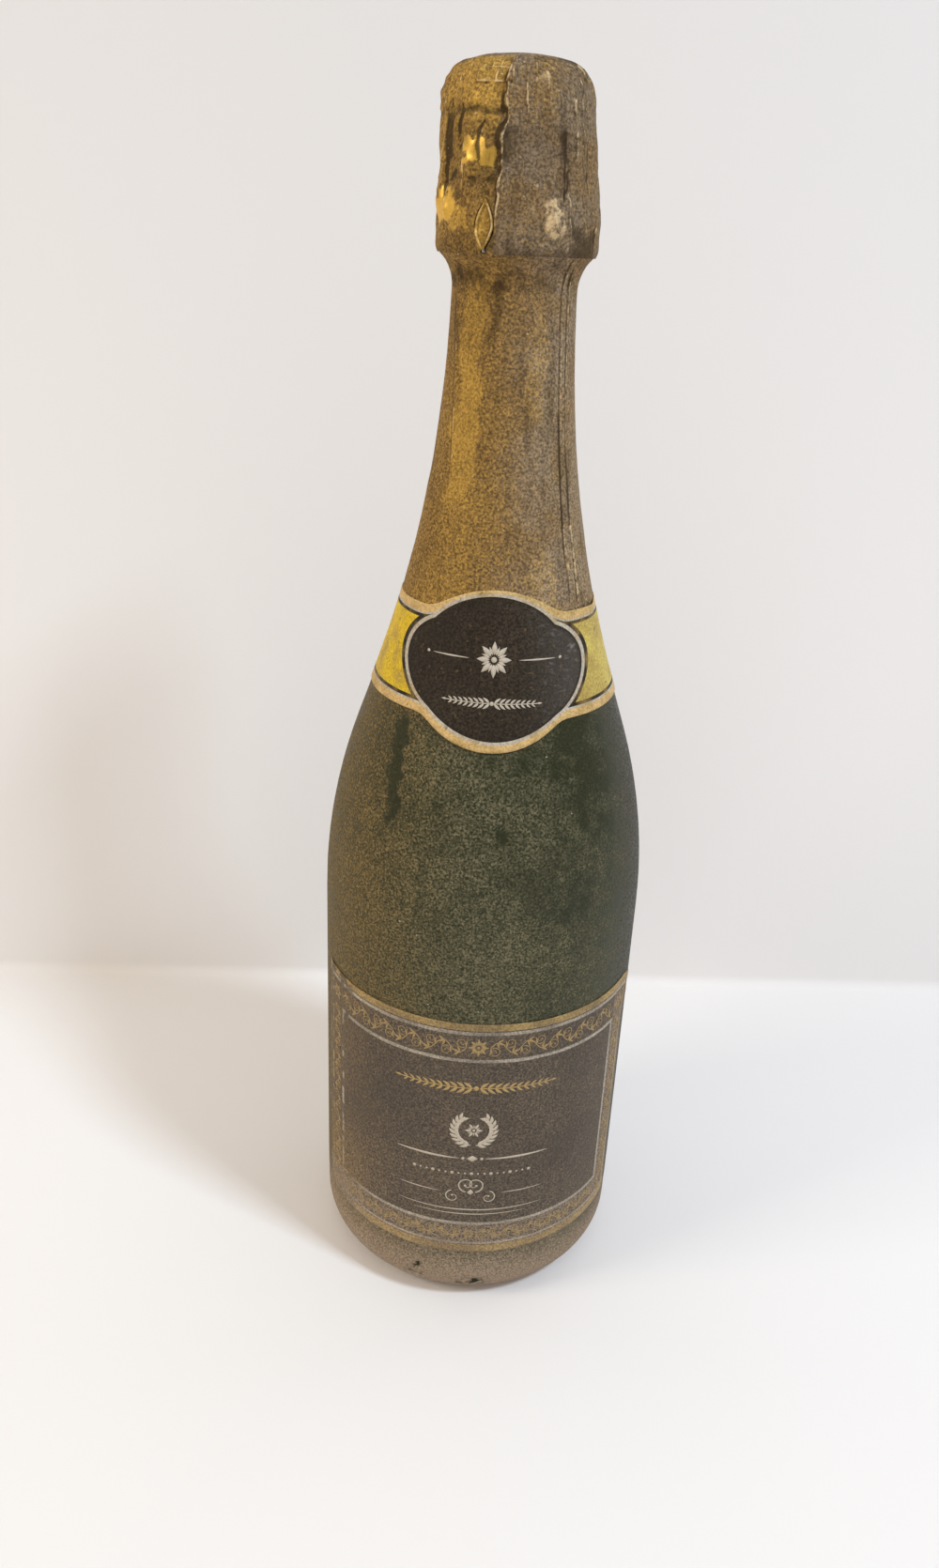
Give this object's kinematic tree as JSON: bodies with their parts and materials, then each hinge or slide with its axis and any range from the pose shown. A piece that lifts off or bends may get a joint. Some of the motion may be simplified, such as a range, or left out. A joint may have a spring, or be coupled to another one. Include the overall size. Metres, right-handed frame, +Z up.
{
  "type": "champagne bottle",
  "caption": "Dusty punted sparkling-wine bottle with mushroom cork, wire cage, crumpled gold foil, lobed paper collar and a front label.",
  "frame": {"origin": "centre of the base, on the surface that the bottle stands on", "axes": "+Z up along the bottle's axis, the body label faces -Y"},
  "size_m": [0.088, 0.0882, 0.3202],
  "materials": {
    "green_glass": "dark green bottle glass under a fine olive dust",
    "wine": "clear golden wine",
    "agglomerated_cork": "pressed cork granules",
    "natural_cork": "natural cork with pores",
    "tinplate": "lacquered tinplate, bare of print",
    "cage_wire": "galvanised wire",
    "gold_foil": "dusty crumpled gold foil",
    "collar_paper": "yellow and black printed paper with a gold edge",
    "label_paper": "black printed paper with gold and cream rules"
  },
  "bodies": {
    "bottle": {"glass_bottle": "green_glass", "wine": "wine", "foil_skirt": "gold_foil", "neck_label": "collar_paper", "body_label": "label_paper"},
    "cage": {"crown_cap": "tinplate", "cage_top_ring": "cage_wire", "cage_leg_1": "cage_wire", "cage_leg_2": "cage_wire", "cage_leg_3": "cage_wire", "cage_leg_4": "cage_wire", "belt_wire": "cage_wire"},
    "cork": {"cork_body": "agglomerated_cork", "cork_disc_upper": "natural_cork", "cork_disc_lower": "natural_cork"},
    "hood": {"foil_hood": "gold_foil"},
    "loop_fold": {"loop_stem": "cage_wire"},
    "loop": {"twist_loop": "cage_wire", "foil_tab": "gold_foil"}
  },
  "joints": [
    {"name": "cork_pull", "type": "slide", "parent": "bottle", "child": "cage", "axis": [0, 0, 1], "range_m": [0, 0.045], "deforming": ["belt_wire", "cage_leg_1", "cage_leg_2", "cage_leg_3", "cage_leg_4"]},
    {"name": "cork_turn", "type": "hinge", "parent": "cage", "child": "cork", "pos_m": [0, 0, 0.301], "axis": [0, 0, 1], "continuous": true},
    {"name": "hood_lift", "type": "slide", "parent": "cage", "child": "hood", "axis": [0, 0, 1], "range_m": [0, 0.06]},
    {"name": "loop_lift", "type": "hinge", "parent": "cage", "child": "loop_fold", "pos_m": [-0.00715, -0.01717, 0.2813], "axis": [0.9232, -0.3843, 0], "range_deg": [0, 90]},
    {"name": "loop_twist", "type": "hinge", "parent": "loop_fold", "child": "loop", "pos_m": [-0.00715, -0.01717, 0.2813], "axis": [0.0235, 0.0564, 0.9981], "range_deg": [0, 1080]}
  ]
}
